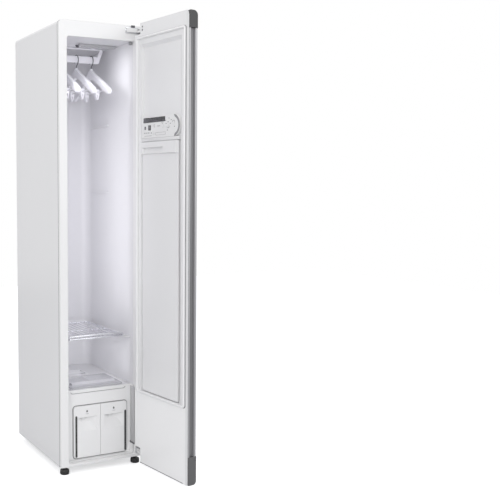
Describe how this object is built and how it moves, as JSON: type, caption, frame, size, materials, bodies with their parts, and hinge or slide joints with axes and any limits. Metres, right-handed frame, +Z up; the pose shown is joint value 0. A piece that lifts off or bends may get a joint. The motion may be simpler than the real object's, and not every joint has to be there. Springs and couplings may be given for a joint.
{
  "type": "clothes care steam cabinet",
  "caption": "Tall free-standing clothes care steam cabinet with a hinged door, moving hanger bar, trouser press, wire shelf and pull-out water tanks.",
  "frame": {"origin": "on the floor, under the middle of the box around the cabinet with its door open as pictured", "axes": "+X to the door's hinge side, +Y from the front to the back, +Z up"},
  "size_m": [0.416, 0.9212, 1.852],
  "materials": {
    "side_steel": "satin white-grey paint",
    "white_plastic": "semi-gloss",
    "liner_plastic": "semi-gloss",
    "door_skin": "gloss",
    "trim_metal": "brushed",
    "charcoal_plastic": "matte",
    "foot_plastic": "matte",
    "gasket_rubber": "matte",
    "foam": "matte foam",
    "hanger_plastic": "gloss",
    "bright_wire": "polished",
    "bracket_steel": "satin",
    "clear_plastic": "frosted clear",
    "vent_plastic": "matte",
    "control_plastic": "satin",
    "press_fabric": "matte",
    "machine_metal": "satin",
    "fin_metal": "satin"
  },
  "bodies": {
    "cabinet": {"back_panel": "side_steel", "base_pan": "bracket_steel", "blower": "foot_plastic", "ceiling_vent": "vent_plastic", "chamber_back_wall": "liner_plastic", "chamber_ceiling": "liner_plastic", "chamber_floor": "liner_plastic", "chamber_left_wall": "liner_plastic", "chamber_right_wall": "liner_plastic", "compressor": "machine_metal", "floor_grille": "clear_plastic", "front_frame": "white_plastic", "heat_exchanger": "fin_metal", "insulation": "foam", "left_side_panel": "side_steel", "lower_hinge_bracket": "bracket_steel", "right_side_panel": "side_steel", "shaker_motor": "machine_metal", "steam_boiler": "fin_metal", "tank_bay": "white_plastic", "top_panel": "side_steel", "upper_hinge_bracket": "bracket_steel"},
    "door": {"door_outer_panel": "door_skin", "door_core": "foam", "door_liner": "white_plastic", "door_lower_panel": "white_plastic", "door_gasket": "gasket_rubber", "door_edge_trim": "trim_metal", "edge_cap_top": "charcoal_plastic", "edge_cap_low": "charcoal_plastic", "control_panel": "control_plastic", "press_pad": "press_fabric"},
    "trouser_press": {"press_plate": "white_plastic"},
    "power_key": {"power_button": "control_plastic"},
    "start_key": {"start_button": "control_plastic"},
    "course_key": {"course_button": "control_plastic"},
    "option_key": {"option_button": "control_plastic"},
    "moving_bar": {"hanger_bar": "hanger_plastic"},
    "shelf": {"wire_shelf": "bright_wire"},
    "filter": {"lint_filter": "control_plastic"},
    "supply_drawer": {"supply_tank_front": "white_plastic", "supply_tank": "clear_plastic"},
    "drain_drawer": {"drain_tank_front": "white_plastic", "drain_tank": "clear_plastic"},
    "coat_hanger_1": {"hanger_1": "hanger_plastic", "hanger_hook_1": "bright_wire"},
    "clip_1_front": {"hanger_1_clip_front": "hanger_plastic"},
    "clip_1_rear": {"hanger_1_clip_rear": "hanger_plastic"},
    "coat_hanger_2": {"hanger_2": "hanger_plastic", "hanger_hook_2": "bright_wire"},
    "clip_2_front": {"hanger_2_clip_front": "hanger_plastic"},
    "clip_2_rear": {"hanger_2_clip_rear": "hanger_plastic"},
    "coat_hanger_3": {"hanger_3": "hanger_plastic", "hanger_hook_3": "bright_wire"},
    "clip_3_front": {"hanger_3_clip_front": "hanger_plastic"},
    "clip_3_rear": {"hanger_3_clip_rear": "hanger_plastic"},
    "levelling_foot_front_left": {"foot_front_left": "foot_plastic"},
    "levelling_foot_front_right": {"foot_front_right": "foot_plastic"},
    "levelling_foot_rear_left": {"foot_rear_left": "foot_plastic"},
    "levelling_foot_rear_right": {"foot_rear_right": "foot_plastic"}
  },
  "joints": [
    {"name": "door_hinge", "type": "hinge", "parent": "cabinet", "child": "door", "pos_m": [0.14398, -0.10944, 0.937], "axis": [0, 0, 1], "range_deg": [-97, 13]},
    {"name": "press_hinge", "type": "hinge", "parent": "door", "child": "trouser_press", "pos_m": [0.13362, -0.14899, 0.848], "axis": [0, 0, -1], "range_deg": [0, 20]},
    {"name": "bar_shake", "type": "slide", "parent": "cabinet", "child": "moving_bar", "axis": [1, 0, 0], "range_m": [-0.02, 0.02]},
    {"name": "shelf_slide", "type": "slide", "parent": "cabinet", "child": "shelf", "axis": [0, -1, 0], "range_m": [0, 0.25]},
    {"name": "filter_lift", "type": "slide", "parent": "cabinet", "child": "filter", "axis": [0, 0, 1], "range_m": [0, 0.06]},
    {"name": "supply_slide", "type": "slide", "parent": "cabinet", "child": "supply_drawer", "axis": [0, -1, 0], "range_m": [0, 0.15]},
    {"name": "drain_slide", "type": "slide", "parent": "cabinet", "child": "drain_drawer", "axis": [0, -1, 0], "range_m": [0, 0.15]},
    {"name": "hanger_1_swing", "type": "hinge", "parent": "moving_bar", "child": "coat_hanger_1", "pos_m": [-0.09202, 0.18856, 1.754], "axis": [1, 0, 0], "range_deg": [-5, 5]},
    {"name": "clip_1_front_slide", "type": "slide", "parent": "coat_hanger_1", "child": "clip_1_front", "axis": [0, 1, 0], "range_m": [-0.03, 0.03]},
    {"name": "clip_1_rear_slide", "type": "slide", "parent": "coat_hanger_1", "child": "clip_1_rear", "axis": [0, 1, 0], "range_m": [-0.03, 0.03]},
    {"name": "hanger_2_swing", "type": "hinge", "parent": "moving_bar", "child": "coat_hanger_2", "pos_m": [-0.02202, 0.18856, 1.754], "axis": [1, 0, 0], "range_deg": [-5, 5]},
    {"name": "clip_2_front_slide", "type": "slide", "parent": "coat_hanger_2", "child": "clip_2_front", "axis": [0, 1, 0], "range_m": [-0.03, 0.03]},
    {"name": "clip_2_rear_slide", "type": "slide", "parent": "coat_hanger_2", "child": "clip_2_rear", "axis": [0, 1, 0], "range_m": [-0.03, 0.03]},
    {"name": "hanger_3_swing", "type": "hinge", "parent": "moving_bar", "child": "coat_hanger_3", "pos_m": [0.04798, 0.18856, 1.754], "axis": [1, 0, 0], "range_deg": [-5, 5]},
    {"name": "clip_3_front_slide", "type": "slide", "parent": "coat_hanger_3", "child": "clip_3_front", "axis": [0, 1, 0], "range_m": [-0.03, 0.03]},
    {"name": "clip_3_rear_slide", "type": "slide", "parent": "coat_hanger_3", "child": "clip_3_rear", "axis": [0, 1, 0], "range_m": [-0.03, 0.03]},
    {"name": "power_press", "type": "slide", "parent": "door", "child": "power_key", "axis": [0.9925, 0.1219, 0], "range_m": [0, 0.001], "stiffness_N_per_m": 400},
    {"name": "start_press", "type": "slide", "parent": "door", "child": "start_key", "axis": [0.9925, 0.1219, 0], "range_m": [0, 0.001], "stiffness_N_per_m": 400},
    {"name": "course_press", "type": "slide", "parent": "door", "child": "course_key", "axis": [0.9925, 0.1219, 0], "range_m": [0, 0.001], "stiffness_N_per_m": 400},
    {"name": "option_press", "type": "slide", "parent": "door", "child": "option_key", "axis": [0.9925, 0.1219, 0], "range_m": [0, 0.001], "stiffness_N_per_m": 400},
    {"name": "foot_front_left_turn", "type": "hinge", "parent": "cabinet", "child": "levelling_foot_front_left", "pos_m": [-0.18402, -0.05544, 0.012], "axis": [0, 0, 1], "continuous": true},
    {"name": "foot_front_right_turn", "type": "hinge", "parent": "cabinet", "child": "levelling_foot_front_right", "pos_m": [0.13998, -0.05544, 0.012], "axis": [0, 0, 1], "continuous": true},
    {"name": "foot_rear_left_turn", "type": "hinge", "parent": "cabinet", "child": "levelling_foot_rear_left", "pos_m": [-0.09802, 0.43656, 0.012], "axis": [0, 0, 1], "continuous": true},
    {"name": "foot_rear_right_turn", "type": "hinge", "parent": "cabinet", "child": "levelling_foot_rear_right", "pos_m": [0.05398, 0.43656, 0.012], "axis": [0, 0, 1], "continuous": true}
  ]
}
